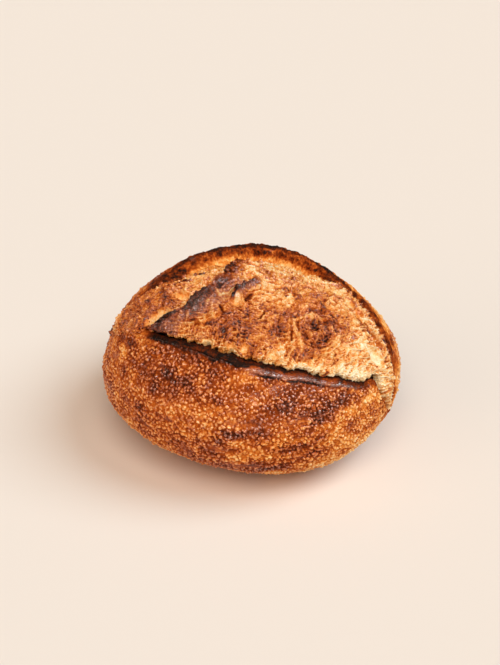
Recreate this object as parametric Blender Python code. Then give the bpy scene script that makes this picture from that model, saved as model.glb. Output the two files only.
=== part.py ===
"""A sourdough loaf: one round, hand-shaped boule, slashed once and torn open in the oven.

The loaf is a single solid.  Its surface is worked out as a distance from the middle of the
dough in every direction, so it never folds over itself:

* the body is a rounded, slightly lopsided mound with a flat foot;
* the opening is a pointed oval round the crown, the pole that the slash was cut across;
* inside the opening the bloom of torn crumb rises, with two flaps and a swirl;
* a crevice parts the bloom from the crust, low in front and deep behind;
* the crust's torn edge stands up round the opening: a low lip in front, a tall ear behind.

Lengths are metres and +Z is up.  Angles at the crown are degrees: u runs along the slash to
the right, v runs across it to the back.  A turn is the angle round the crown, from u to v.
"""

import bpy
import numpy as np

NODE = "sourdough_loaf"

# The body
HALF_WIDTH = 0.115
HALF_DEPTH = 0.111
WAIST_HEIGHT = 0.045          # height of the widest level above the foot
RISE_ABOVE_WAIST = 0.087
DROP_BELOW_WAIST = 0.054      # how deep the underside would reach without the foot
ROUNDNESS = 2.12              # 2 is an ellipsoid, more is boxier
FOOT_SHARPNESS = 14.0         # how tightly the underside turns into the flat foot
FOOT_PRESS = 0.004            # how far the dough is pressed flat

# Hand shaping, each: compass angle, height angle, spread (degrees), outward rise
UNEVENNESS = (
    (25.0, 32.0, 24.0, -0.0055),     # right shoulder drawn in
    (0.0, 0.0, 22.0, 0.0020),        # right side full
    (-15.0, -21.0, 22.0, -0.0116),   # right flank cut back below the ear's end
    (-62.0, -22.0, 22.0, -0.0029),   # right part of the front drawn in below
    (-94.0, -22.0, 24.0, -0.0069),   # front drawn in below
    (-122.0, -18.0, 24.0, -0.0087),  # left part of the front drawn in below
    (-150.0, -14.0, 22.0, -0.0065),  # left flank drawn in below
    (90.0, 54.0, 34.0, 0.0018),      # back shoulder proud
)

# The crown: how the slash lies on the body
CROWN_TO_FRONT = 12.0
CROWN_TO_RIGHT = 7.0
SLASH_TURN = -16.0            # the slash runs to the right and to the front

# The opening, angles at the crown
TIP_LEFT = 84.0
TIP_RIGHT = 80.0
MIDLINE = -11.0               # v of the line through both tips
FRONT_SPREAD = 29.0
BACK_SPREAD = 51.0

# The torn edge and the crevice inside it
CREVICE = 3.2                 # angle between the bloom and the crust's edge
CRUST_EDGE = 1.8              # angle across the edge's top
EDGE_LEAN = 0.4
LIP_RISE = 0.001
EAR_RISE = 0.0055
LEFT_EDGE_RISE = -0.003
CREVICE_FRONT = -0.001
CREVICE_BACK = -0.013
EDGE_FADE = 11.0              # angle over which the raised edge runs out into the crust

# The bloom
BLOOM_RISE = 0.008
BLOOM_BACK_DROP = 0.011
FLAP_RISE = 0.0055
FLAP_RUN = 24.0               # angle over which the flap sinks back to the bloom
FLAP_STEP = 2.5               # half the angle over which a flap steps up
FLAP_LINE = ((-54.0, -27.0), (-43.0, -25.0), (-35.0, -18.0), (-27.0, -8.5), (-23.0, 3.0), (-19.0, 18.0))
SMALL_FLAP_RISE = 0.003
SMALL_FLAP_RUN = 9.0
SMALL_FLAP_LINE = ((-9.0, -3.0), (-2.0, -0.5), (10.0, 4.0))
SWIRL_CENTRE = (26.0, -16.0)
SWIRL_SPREAD = 8.0
SWIRL_RISE = 0.003

# The mesh
COLUMNS = 90
BLOOM_RINGS = 18
CRUST_RINGS = 19

CRUST_COLOUR = (0.27, 0.10, 0.03, 1.0)
BLOOM_COLOUR = (0.62, 0.30, 0.09, 1.0)


def clear_scene():
    """Remove every object of the open scene."""
    for item in list(bpy.data.objects):
        bpy.data.objects.remove(item, do_unlink=True)


def ease(start, end, value):
    """Rise smoothly from 0 at start to 1 at end."""
    t = np.clip((value - start) / (end - start), 0.0, 1.0)
    return t * t * (3.0 - 2.0 * t)


def unit(vector):
    """Return the vector, or each row of vectors, at length one."""
    return vector / np.linalg.norm(vector, axis=-1, keepdims=True)


def crown_frame():
    """Return the crown's pole and the two directions along and across the slash."""
    pole = unit(np.array([np.sin(np.radians(CROWN_TO_RIGHT)), -np.sin(np.radians(CROWN_TO_FRONT)), 1.0]))
    turn = np.radians(SLASH_TURN)
    along = np.array([np.cos(turn), np.sin(turn), 0.0])
    along = unit(along - pole * (pole @ along))
    return pole, along, np.cross(pole, along)


def directions(reach, turn):
    """Return unit directions at an angle from the crown (degrees) and a turn round it (radians)."""
    pole, along, across = crown_frame()
    tilt = np.radians(reach)[..., None]
    side = np.cos(turn)[..., None] * along + np.sin(turn)[..., None] * across
    return np.cos(tilt) * pole + np.sin(tilt) * side


def body_distance(way):
    """Return how far the plain body's surface lies from the middle of the dough, per direction."""
    level = np.hypot(way[..., 0] / HALF_WIDTH, way[..., 1] / HALF_DEPTH)
    height = np.where(way[..., 2] > 0.0, RISE_ABOVE_WAIST, DROP_BELOW_WAIST)
    distance = (level ** ROUNDNESS + (np.abs(way[..., 2]) / height) ** ROUNDNESS) ** (-1.0 / ROUNDNESS)
    for compass, lift, spread, rise in UNEVENNESS:
        compass, lift = np.radians(compass), np.radians(lift)
        centre = np.array([np.cos(compass) * np.cos(lift), np.sin(compass) * np.cos(lift), np.sin(lift)])
        away = np.degrees(np.arccos(np.clip(way @ centre, -1.0, 1.0)))
        distance = distance + rise * np.exp(-(away / spread) ** 2)
    foot = (WAIST_HEIGHT + FOOT_PRESS) / np.maximum(-way[..., 2], 1e-6)
    pressed = (distance ** -FOOT_SHARPNESS + foot ** -FOOT_SHARPNESS) ** (-1.0 / FOOT_SHARPNESS)
    return np.where(way[..., 2] < 0.0, pressed, distance)


def inside_opening(u, v):
    """Return an angle that is positive inside the opening and negative outside it."""
    along = np.clip(np.where(u > 0.0, u / TIP_RIGHT, -u / TIP_LEFT), 0.0, 1.0)
    front_right = np.maximum((1.0 - along ** 1.9) ** 1.5, 0.25 * (1.0 - along ** 8))
    front = FRONT_SPREAD * np.where(u > 0.0, front_right, 1.0 - along ** 1.7)
    back = BACK_SPREAD * np.cos(0.5 * np.pi * along) ** np.where(u > 0.0, 1.35, 1.0)
    gap = np.where(v > MIDLINE, back, front) - np.abs(v - MIDLINE)
    return np.where(along >= 1.0, -1.0, gap)


def opening_reach(turn):
    """Return the angle from the crown to the opening's edge at each turn, by bisection."""
    low = np.full_like(turn, 5.0)
    high = np.full_like(turn, 100.0)
    for _ in range(40):
        middle = 0.5 * (low + high)
        within = inside_opening(middle * np.cos(turn), middle * np.sin(turn)) > 0.0
        low = np.where(within, middle, low)
        high = np.where(within, high, middle)
    return low


def edge_rise(turn):
    """Return how far the crust's torn edge stands up.

    It is low in front, tall behind and on to the right tip, and sunk at the left.
    """
    behind = np.where(np.cos(turn) > 0.0, ease(-0.22, 0.16, np.sin(turn)), ease(-0.15, 0.6, np.sin(turn)))
    rise = LIP_RISE + (EAR_RISE - LIP_RISE) * behind
    left = np.where(turn > 0.0, ease(np.radians(125.0), np.radians(165.0), turn), turn < np.radians(-149.0))
    return rise * (1.0 - left) + LEFT_EDGE_RISE * left


def crevice_depth(turn):
    """Return how deep the crevice lies inside the edge."""
    return CREVICE_FRONT + (CREVICE_BACK - CREVICE_FRONT) * ease(-0.15, 0.6, np.sin(turn))


def flap(u, v, line, rise, run):
    """Return a torn flap's height: a step up across the line, on its right, sinking over a run.

    The line is read as u for each v, so its points climb in v; past both ends the flap fades out.
    """
    line_u, line_v = np.array(line).T
    beyond = u - np.interp(v, line_v, line_u)
    ends = ease(line_v[0] - 6.0, line_v[0], v) * (1.0 - ease(line_v[-1], line_v[-1] + 8.0, v))
    return rise * ends * ease(-FLAP_STEP, FLAP_STEP, beyond) * (1.0 - ease(0.0, run, beyond))


def bloom_rise(u, v, share):
    """Return the bloom's height over the plain body.

    share is 0 at the crown and 1 at the bloom's edge: the bloom rounds off towards the edge,
    drops away behind, where the ear stands, and flattens at both tips.
    """
    behind = ease(-12.0, 38.0, v) * ease(-75.0, -35.0, u)
    rise = BLOOM_RISE * (1.0 - 0.3 * share ** 2) - (BLOOM_BACK_DROP + 0.2 * BLOOM_RISE) * behind
    rise = rise + flap(u, v, FLAP_LINE, FLAP_RISE, FLAP_RUN)
    rise = rise + flap(u, v, SMALL_FLAP_LINE, SMALL_FLAP_RISE, SMALL_FLAP_RUN)
    swirl = np.hypot(u - SWIRL_CENTRE[0], v - SWIRL_CENTRE[1]) / SWIRL_SPREAD
    rise = rise + SWIRL_RISE * np.exp(-swirl ** 2)
    return rise * (1.0 - 0.75 * ease(45.0, 85.0, np.abs(u)))


def column_turns():
    """Return the columns' turns: closer together where the opening's edge is far from the crown."""
    turn = np.radians(np.linspace(-180.0, 180.0, 3001))
    reach = opening_reach(turn)
    step = np.hypot(np.diff(reach * np.cos(turn)), np.diff(reach * np.sin(turn)))
    arc = np.concatenate([[0.0], np.cumsum(step)])
    blend = 0.7 * arc / arc[-1] + 0.3 * np.linspace(0.0, 1.0, len(arc))
    return np.interp(np.linspace(0.0, 1.0, COLUMNS, endpoint=False), blend, turn)


def loaf_rings():
    """Return the rings of points from the crown down to the foot, and how many are bloom."""
    turn = column_turns()
    edge = opening_reach(turn)
    rise = edge_rise(turn)
    depth = crevice_depth(turn)
    rings = []

    def add_ring(reach, height):
        way = directions(reach, turn)
        rings.append(way * (body_distance(way) + height)[:, None])

    for share in 1.0 - (1.0 - np.linspace(0.0, 1.0, BLOOM_RINGS + 1)[1:]) ** 1.15:
        reach = share * (edge - CREVICE)
        height = bloom_rise(reach * np.cos(turn), reach * np.sin(turn), share)
        add_ring(reach, height)
    add_ring(edge - 0.75 * CREVICE, np.minimum(depth, height - 0.002))
    add_ring(edge - 0.45 * CREVICE, 0.9 * depth)
    bloom_rings = len(rings)
    add_ring(edge - EDGE_LEAN, 0.4 * rise + 0.3 * depth)
    add_ring(edge, rise)
    outer_edge = edge + CRUST_EDGE
    add_ring(outer_edge, 0.95 * rise)
    for share in np.linspace(0.0, 1.0, CRUST_RINGS + 1)[1:-1] ** 1.25:
        reach = outer_edge + (180.0 - outer_edge) * share
        add_ring(reach, 0.95 * rise * np.exp(-((reach - outer_edge) / EDGE_FADE) ** 2))
    return np.stack(rings), bloom_rings


def loaf_mesh():
    """Return the loaf's points, its faces and how many of the faces are bloom."""
    rings, bloom_rings = loaf_rings()
    pole = crown_frame()[0]
    top = pole * (body_distance(pole) + bloom_rise(0.0, 0.0, 0.0))
    bottom = -pole * body_distance(-pole)
    points = np.concatenate([rings.reshape(-1, 3), [top, bottom]])
    points[:, 2] = np.maximum(points[:, 2] + WAIST_HEIGHT, 0.0)
    points[:, :2] -= 0.5 * (points[:, :2].min(axis=0) + points[:, :2].max(axis=0))

    ring_count, columns = rings.shape[:2]
    top_index, bottom_index = ring_count * columns, ring_count * columns + 1
    faces = []
    for column in range(columns):
        after = (column + 1) % columns
        faces.append((top_index, column, after))
    for ring in range(ring_count - 1):
        for column in range(columns):
            here = ring * columns
            after = (column + 1) % columns
            faces.append((here + column, here + columns + column, here + columns + after, here + after))
    bloom_faces = columns * bloom_rings
    last = (ring_count - 1) * columns
    for column in range(columns):
        after = (column + 1) % columns
        faces.append((bottom_index, last + after, last + column))
    return points, faces, bloom_faces


def plain_material(name, colour, roughness):
    """Return a Principled material of one colour."""
    material = bpy.data.materials.new(name)
    material.use_nodes = True
    shader = material.node_tree.nodes["Principled BSDF"]
    shader.inputs["Base Color"].default_value = colour
    shader.inputs["Roughness"].default_value = roughness
    shader.inputs["Metallic"].default_value = 0.0
    return material


def build_loaf():
    """Make the loaf: crust all over, with the bloom's faces in the colour of torn crumb."""
    points, faces, bloom_faces = loaf_mesh()
    mesh = bpy.data.meshes.new(NODE)
    mesh.from_pydata(points.tolist(), [], faces)
    mesh.materials.append(plain_material("crust", CRUST_COLOUR, 0.45))
    mesh.materials.append(plain_material("bloom", BLOOM_COLOUR, 0.6))
    is_bloom = np.arange(len(faces)) < bloom_faces
    mesh.polygons.foreach_set("material_index", is_bloom.astype(np.int32))
    mesh.update()
    mesh.shade_smooth()
    loaf = bpy.data.objects.new(NODE, mesh)
    bpy.context.scene.collection.objects.link(loaf)
    return loaf


def main():
    """Build the sourdough loaf in an empty scene."""
    clear_scene()
    build_loaf()


main()
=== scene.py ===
"""Looks of a sourdough loaf: blistered crust, charred torn edge, raised ear and torn bloom.

The loaf's plain form is the one its solid is built from: a distance from the middle of the
dough in every direction.  Fine relief is laid on it along its normals.  Lengths are metres.
Places on the loaf are angles at the crown in degrees: u runs along the slash to the right,
v runs across it to the back; a reach is the angle from the crown, a turn the angle round it.

Browning is one number everywhere: 0 is cream crumb, 0.5 golden brown, 1 charcoal; it also carries painted shade and
painted highlights.
"""

from __future__ import annotations

import logging
from dataclasses import dataclass, field
from enum import Enum
from typing import Callable

import bpy
import numpy as np
from mathutils import Matrix, Vector


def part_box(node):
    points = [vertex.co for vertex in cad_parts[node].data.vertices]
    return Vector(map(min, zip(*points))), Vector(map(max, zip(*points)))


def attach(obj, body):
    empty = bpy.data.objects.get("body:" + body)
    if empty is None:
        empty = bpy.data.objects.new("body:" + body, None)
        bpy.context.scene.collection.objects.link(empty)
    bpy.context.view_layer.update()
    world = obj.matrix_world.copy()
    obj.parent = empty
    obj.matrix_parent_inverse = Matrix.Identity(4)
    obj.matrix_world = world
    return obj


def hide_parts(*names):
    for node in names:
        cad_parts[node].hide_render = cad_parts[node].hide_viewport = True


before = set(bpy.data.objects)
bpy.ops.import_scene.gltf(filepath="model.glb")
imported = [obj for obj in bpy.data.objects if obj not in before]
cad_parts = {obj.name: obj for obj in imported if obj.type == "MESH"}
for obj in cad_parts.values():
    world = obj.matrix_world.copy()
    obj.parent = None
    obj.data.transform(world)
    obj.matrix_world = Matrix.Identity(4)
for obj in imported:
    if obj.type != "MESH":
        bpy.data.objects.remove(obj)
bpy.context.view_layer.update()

log = logging.getLogger("sourdough")

MM = 0.001
LOAF = "sourdough_loaf"
Array = np.ndarray


# ---------------------------------------------------------------- noise


def ease(start: float, end: float, value: Array) -> Array:
    """Rise smoothly from 0 at start to 1 at end.

    Args:
        start: Value at which the result leaves 0.
        end: Value at which the result reaches 1.
        value: Values to read.

    Returns:
        3t^2 - 2t^3 of the clipped share t between start and end.
    """
    t = np.clip((value - start) / (end - start), 0.0, 1.0)
    return t * t * (3.0 - 2.0 * t)


def bump(centre: float, spread: float, value: Array) -> Array:
    """Return a bell of height 1 round centre: e to the minus square of the distance over spread."""
    return np.exp(-(((value - centre) / spread) ** 2))


def hashed(i: Array, j: Array, k: Array, seed: int) -> Array:
    """Return a repeatable number from 0 to 1 for each whole-number lattice place.

    Args:
        i: First lattice index, 32-bit unsigned.
        j: Second lattice index.
        k: Third lattice index.
        seed: Picks one of many independent sets of numbers.

    Returns:
        The place's bits, mixed by multiplying and shifting, as a share of their range.
    """
    h = i * np.uint32(374761393) + j * np.uint32(668265263) + k * np.uint32(2246822519)
    h = h + np.uint32((seed * 1274126177) & 0xFFFFFFFF)
    h = (h ^ (h >> np.uint32(13))) * np.uint32(1274126177)
    h = (h ^ (h >> np.uint32(15))) * np.uint32(2654435761)
    h = h ^ (h >> np.uint32(16))
    return (h & np.uint32(0xFFFFFF)).astype(np.float32) / np.float32(0xFFFFFF)


def in_chunks(function: Callable[[Array], Array], points: Array, size: int = 60000) -> Array:
    """Run a function on flat runs of points, which keeps its working arrays small.

    Args:
        function: Takes points (n, 3) and returns values (n,) or (n, m).
        points: Points of any leading shape.
        size: Points in one run.

    Returns:
        The function's values, in the leading shape of the points.
    """
    flat = points.reshape(-1, 3)
    parts = [function(flat[start:start + size]) for start in range(0, len(flat), size)]
    values = np.concatenate(parts)
    return values.reshape(points.shape[:-1] + values.shape[1:])


def value_noise(points: Array, size: float, seed: int) -> Array:
    """Return smooth noise from -1 to 1: lattice numbers blended between the eight corners.

    Args:
        points: Points, (..., 3).
        size: Distance between lattice points.
        seed: Picks the pattern.

    Returns:
        One number for each point.
    """

    def run(flat: Array) -> Array:
        place = flat / size
        low = np.floor(place)
        part = (place - low).astype(np.float32)
        part = part * part * (3.0 - 2.0 * part)
        cell = low.astype(np.int64).astype(np.uint32)
        total = np.zeros(len(flat), np.float32)
        for corner in range(8):
            step = [(corner >> axis) & 1 for axis in range(3)]
            weight = np.ones(len(flat), np.float32)
            for axis in range(3):
                weight = weight * (part[:, axis] if step[axis] else 1.0 - part[:, axis])
            index = [cell[:, axis] + np.uint32(step[axis]) for axis in range(3)]
            total += weight * hashed(index[0], index[1], index[2], seed)
        return 2.0 * total - 1.0

    return in_chunks(run, points)


def rough(points: Array, size: float, octaves: int, seed: int, gain: float = 0.5) -> Array:
    """Return layered noise of about -1 to 1: each layer half as large and gain times as strong."""
    total = np.zeros(points.shape[:-1])
    strength, whole = 1.0, 0.0
    for octave in range(octaves):
        total += strength * value_noise(points, size / 2.0 ** octave, seed + 17 * octave)
        whole += strength
        strength *= gain
    return total / whole


def webs(points: Array, size: float, octaves: int, seed: int, gain: float = 0.55) -> Array:
    """Return thin crests from 0 to 1 where layered noise crosses zero, like strands of crumb."""
    total = np.zeros(points.shape[:-1])
    strength, whole = 1.0, 0.0
    for octave in range(octaves):
        layer = 1.0 - np.abs(value_noise(points, size / 2.0 ** octave, seed + 31 * octave)) * 2.2
        total += strength * np.clip(layer, 0.0, 1.0) ** 1.5
        whole += strength
        strength *= gain
    return total / whole


def domes(points: Array, size: float, seed: int, small: float, large: float, share: float,
          low: float = 1.0) -> Array:
    """Return packed domes, for blisters and pits.

    A seed point lies at random in each cell of a cubic lattice, with a radius and a height of its
    own; a dome is its height times 1 minus the squared distance over the squared radius, and the
    highest dome wins.

    Args:
        points: Points, (..., 3).
        size: The lattice's cell size.
        seed: Picks the pattern.
        small: Smallest radius, in cells.
        large: Largest radius, in cells, at most 1.
        share: Share of the cells that hold a dome.
        low: Height of the lowest dome; the highest is 1.

    Returns:
        Height from 0 to 1, that dome's own random number and how far inside its rim the point
        lies (0 at the rim, 1 at the middle), (..., 3).
    """

    def run(flat: Array) -> Array:
        place = (flat / size).astype(np.float32)
        base = np.floor(place)
        part = place - base
        cell = base.astype(np.int64).astype(np.uint32)
        best = np.zeros(len(flat), np.float32)
        own = np.zeros(len(flat), np.float32)
        inner = np.zeros(len(flat), np.float32)
        for number in range(27):
            step = np.array([number % 3, number // 3 % 3, number // 9]) - 1
            index = [cell[:, axis] + np.uint32(step[axis] & 0xFFFFFFFF) for axis in range(3)]
            away = np.zeros(len(flat), np.float32)
            for axis in range(3):
                centre = step[axis] + hashed(index[0], index[1], index[2], seed + axis)
                away += (part[:, axis] - centre) ** 2
            chance = hashed(index[0], index[1], index[2], seed + 7)
            radius = small + (large - small) * hashed(index[0], index[1], index[2], seed + 11)
            inside = 1.0 - away / radius ** 2
            height = np.where(chance < share, inside * (low + (1.0 - low) * chance / share), 0.0)
            wins = height > best
            own = np.where(wins, chance / share, own)
            inner = np.where(wins, 1.0 - np.sqrt(away) / radius, inner)
            best = np.maximum(best, height)
        return np.stack([best, own, inner], axis=-1)

    return in_chunks(run, points)


def running_mean(values: Array, half: int, axis: int) -> Array:
    """Return each value's mean with its neighbours up to half a window away along one axis."""
    edges = [(half + 1, half) if number == axis else (0, 0) for number in range(values.ndim)]
    total = np.cumsum(np.pad(values, edges, mode="reflect"), axis=axis)
    first = np.arange(values.shape[axis])
    return (np.take(total, first + 2 * half + 1, axis) - np.take(total, first, axis)) / (2 * half + 1)


def crests(relief: Array, half: int, scale: float) -> Array:
    """Return how far relief stands over its surroundings, as a share of a height, -1 to 1."""
    level = relief
    for _ in range(2):
        level = running_mean(running_mean(level, half, 0), half, 1)
    return np.clip((relief - level) / scale, -1.0, 1.0)


def shards(points: Array, size: float, seed: int, small: float, large: float, tilt: float) -> Array:
    """Return overlapping torn flakes.

    Each lattice cell holds one thin disc, tilted its own way: its height is a random level plus its tilt times the
    place within it, it ends at a radius of its own, and the highest disc wins.

    Args:
        points: Points, (..., 3).
        size: The lattice's cell size.
        seed: Picks the pattern.
        small: Smallest radius, in cells.
        large: Largest radius, in cells, at most 1.
        tilt: How much a disc rises from one side to the other, beside its level.

    Returns:
        Height of about 0 to 1, how far inside its rim (0 at the rim, 1 at the middle) and the
        disc's own random number, (..., 3).
    """

    def run(flat: Array) -> Array:
        place = (flat / size).astype(np.float32)
        low = np.floor(place)
        part = place - low
        cell = low.astype(np.int64).astype(np.uint32)
        best = np.zeros(len(flat), np.float32)
        inner = np.zeros(len(flat), np.float32)
        own = np.zeros(len(flat), np.float32)
        for number in range(27):
            step = np.array([number % 3, number // 3 % 3, number // 9]) - 1
            index = [cell[:, axis] + np.uint32(step[axis] & 0xFFFFFFFF) for axis in range(3)]
            away = np.zeros(len(flat), np.float32)
            slope = np.zeros(len(flat), np.float32)
            for axis in range(3):
                centre = step[axis] + hashed(index[0], index[1], index[2], seed + axis)
                offset = part[:, axis] - centre
                away += offset ** 2
                slope += offset * (2.0 * hashed(index[0], index[1], index[2], seed + 3 + axis) - 1.0)
            level = hashed(index[0], index[1], index[2], seed + 7)
            radius = small + (large - small) * hashed(index[0], index[1], index[2], seed + 11)
            depth = 1.0 - np.sqrt(away) / radius
            height = np.where(depth > 0.0, 0.25 + 0.5 * level + tilt * slope / radius, 0.0)
            wins = height > best
            inner = np.where(wins, depth, inner)
            own = np.where(wins, level, own)
            best = np.maximum(best, height)
        return np.stack([best, inner, own], axis=-1)

    return in_chunks(run, points)


# ---------------------------------------------------------------- the loaf's form


@dataclass(frozen=True)
class LoafForm:
    """The loaf's plain form, the same as its solid's, as distances from the middle of the dough."""

    half_width: float = 0.115
    half_depth: float = 0.111
    waist_height: float = 0.045
    rise_above_waist: float = 0.087
    drop_below_waist: float = 0.054
    roundness: float = 2.12
    foot_sharpness: float = 14.0
    foot_press: float = 0.004
    unevenness: tuple[tuple[float, float, float, float], ...] = (
        (25.0, 32.0, 24.0, -0.0055),
        (0.0, 0.0, 22.0, 0.0020),
        (-15.0, -21.0, 22.0, -0.0116),
        (-62.0, -22.0, 22.0, -0.0029),
        (-94.0, -22.0, 24.0, -0.0069),
        (-122.0, -18.0, 24.0, -0.0087),
        (-150.0, -14.0, 22.0, -0.0065),
        (90.0, 54.0, 34.0, 0.0018),
    )
    crown_to_front: float = 12.0
    crown_to_right: float = 7.0
    slash_turn: float = -16.0
    tip_left: float = 84.0
    tip_right: float = 80.0
    midline: float = -11.0
    front_spread: float = 29.0
    back_spread: float = 51.0
    nick_place: float = 57.0
    nick_spread: float = 4.5
    nick_depth: float = 4.6
    crevice: float = 3.2
    crust_edge: float = 1.8
    edge_lean: float = 0.4
    lip_rise: float = 0.001
    ear_rise: float = 0.0055
    left_edge_rise: float = -0.001
    crevice_front: float = -0.001
    crevice_back: float = -0.013
    edge_fade: float = 11.0
    ear_fade: float = 5.5
    bloom_height: float = 0.008
    bloom_back_drop: float = 0.011

    def crown_frame(self) -> tuple[Array, Array, Array]:
        """Return the crown's pole and the directions along and across the slash."""
        lean = np.radians([self.crown_to_right, self.crown_to_front])
        pole = np.array([np.sin(lean[0]), -np.sin(lean[1]), 1.0])
        pole /= np.linalg.norm(pole)
        turn = np.radians(self.slash_turn)
        along = np.array([np.cos(turn), np.sin(turn), 0.0])
        along -= pole * (pole @ along)
        along /= np.linalg.norm(along)
        return pole, along, np.cross(pole, along)

    def directions(self, reach: Array, turn: Array) -> Array:
        """Return unit directions.

        Args:
            reach: Angles from the crown, degrees.
            turn: Angles round the crown, radians.

        Returns:
            cos(reach) times the pole plus sin(reach) times the turned side direction.
        """
        pole, along, across = self.crown_frame()
        tilt = np.radians(reach)[..., None]
        side = np.cos(turn)[..., None] * along + np.sin(turn)[..., None] * across
        return np.cos(tilt) * pole + np.sin(tilt) * side

    def distance(self, way: Array) -> Array:
        """Return the plain body's distance from the middle, per direction.

        A rounded, uneven mound whose underside is pressed to a flat foot by a soft minimum.
        """
        level = np.hypot(way[..., 0] / self.half_width, way[..., 1] / self.half_depth)
        height = np.where(way[..., 2] > 0.0, self.rise_above_waist, self.drop_below_waist)
        power = self.roundness
        distance = (level ** power + (np.abs(way[..., 2]) / height) ** power) ** (-1.0 / power)
        for compass, lift, spread, rise in self.unevenness:
            compass, lift = np.radians(compass), np.radians(lift)
            centre = [np.cos(compass) * np.cos(lift), np.sin(compass) * np.cos(lift), np.sin(lift)]
            away = np.degrees(np.arccos(np.clip(way @ np.array(centre), -1.0, 1.0)))
            distance = distance + rise * np.exp(-(away / spread) ** 2)
        foot = (self.waist_height + self.foot_press) / np.maximum(-way[..., 2], 1e-6)
        sharp = self.foot_sharpness
        pressed = (distance ** -sharp + foot ** -sharp) ** (-1.0 / sharp)
        return np.where(way[..., 2] < 0.0, pressed, distance)

    def front_half(self, u: Array) -> Array:
        """Return the opening's width in front of its midline at u, degrees."""
        along = np.clip(np.where(u > 0.0, u / self.tip_right, -u / self.tip_left), 0.0, 1.0)
        right = np.maximum((1.0 - along ** 1.9) ** 1.5, 0.25 * (1.0 - along ** 8))
        plain = self.front_spread * np.where(u > 0.0, right, 1.0 - along ** 1.7)
        return plain - self.nick_depth * bump(self.nick_place, self.nick_spread, u)

    def back_half(self, u: Array) -> Array:
        """Return the opening's width behind its midline at u, degrees."""
        along = np.clip(np.where(u > 0.0, u / self.tip_right, -u / self.tip_left), 0.0, 1.0)
        return self.back_spread * np.cos(0.5 * np.pi * along) ** np.where(u > 0.0, 1.35, 1.0)

    def opening_reach(self, turn: Array) -> Array:
        """Return the angle from the crown to the opening's edge at each turn, by bisection."""
        low = np.full_like(turn, 5.0)
        high = np.full_like(turn, 100.0)
        for _ in range(40):
            middle = 0.5 * (low + high)
            u, v = middle * np.cos(turn), middle * np.sin(turn)
            width = np.where(v > self.midline, self.back_half(u), self.front_half(u))
            beyond = np.where(u > 0.0, u >= self.tip_right, -u >= self.tip_left)
            within = (width > np.abs(v - self.midline)) & ~beyond
            low = np.where(within, middle, low)
            high = np.where(within, high, middle)
        return low

    @staticmethod
    def ear(turn: Array) -> Array:
        """Return 1 where the torn edge is the tall ear, 0 in front; it runs on to the right tip."""
        side = np.sin(turn)
        return np.where(np.cos(turn) > 0.0, ease(-0.22, 0.16, side), ease(-0.15, 0.6, side))

    def edge_rise(self, turn: Array) -> Array:
        """Return how far the torn edge stands up: low in front, tall behind, sunk at the left."""
        rise = self.lip_rise + (self.ear_rise - self.lip_rise) * self.ear(turn)
        sunk = ease(np.radians(152.0), np.radians(174.0), turn)
        left = np.where(turn > 0.0, sunk, ease(np.radians(149.0), np.radians(170.0), -turn))
        return rise * (1.0 - left) + self.left_edge_rise * left

    def fade(self, turn: Array) -> Array:
        """Return how many degrees outside the torn edge its rise has faded: few behind the ear."""
        ear = ease(np.radians(25.0), np.radians(60.0), turn)
        return self.edge_fade + (self.ear_fade - self.edge_fade) * ear

    def filled(self, turn: Array) -> Array:
        """Return 1 where the bloom has grown against the edge and fills the crevice: right, left."""
        right = ease(np.radians(62.0), np.radians(30.0), turn) * (turn > 0.0)
        left = ease(np.radians(145.0), np.radians(168.0), turn) + ease(np.radians(140.0), np.radians(150.0), -turn)
        return np.clip(right + left + ease(np.radians(28.0), np.radians(12.0), -turn) * (turn <= 0.0), 0.0, 1.0)

    def crevice_depth(self, turn: Array) -> Array:
        """Return how deep the crevice lies inside the edge."""
        open_depth = self.crevice_front + (self.crevice_back - self.crevice_front) * self.ear(turn)
        return open_depth * (1.0 - self.filled(turn)) - 3.0 * MM * self.filled(turn)

    def bloom_rise(self, u: Array, v: Array, share: Array) -> Array:
        """Return the bloom's plain height over the body.

        It rounds off towards the edge (share 1), drops behind, where the ear stands, and
        flattens at both tips.
        """
        back_share = (v - self.midline) / np.maximum(self.back_half(u), 1.0)
        behind = ease(0.0, 0.98, back_share) * ease(-86.0, -72.0, u) * (1.0 - 0.90 * ease(8.0, 36.0, u))
        drop = self.bloom_back_drop + 0.2 * self.bloom_height
        rise = self.bloom_height * (1.0 - 0.3 * share ** 2) - drop * behind
        return rise * (1.0 - 0.75 * ease(45.0, 85.0, np.abs(u)))

    def place(self, way: Array, height: Array) -> Array:
        """Return points at a height over the plain body, in the loaf's frame on its foot."""
        points = way * (self.distance(way) + height)[..., None]
        points[..., 2] += self.waist_height
        return points


def centred_shift(form: LoafForm) -> Array:
    """Return the sideways shift that sets the plain form in the middle of its solid's box."""
    turn = np.linspace(-np.pi, np.pi, 361)[None, :]
    edge = form.opening_reach(turn)
    reach = edge + form.crust_edge + (150.0 - edge) * np.linspace(0.0, 1.0, 161)[:, None]
    fade = np.exp(-(((reach - edge - form.crust_edge) / form.edge_fade) ** 2))
    points = form.place(form.directions(reach, turn + 0.0 * reach), 0.95 * form.edge_rise(turn) * fade)
    low, high = points.reshape(-1, 3).min(axis=0), points.reshape(-1, 3).max(axis=0)
    box_low, box_high = (np.array(corner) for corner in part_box(LOAF))
    shift = 0.5 * (box_low + box_high) - 0.5 * (low + high)
    shift[2] = 0.0
    return shift


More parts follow.
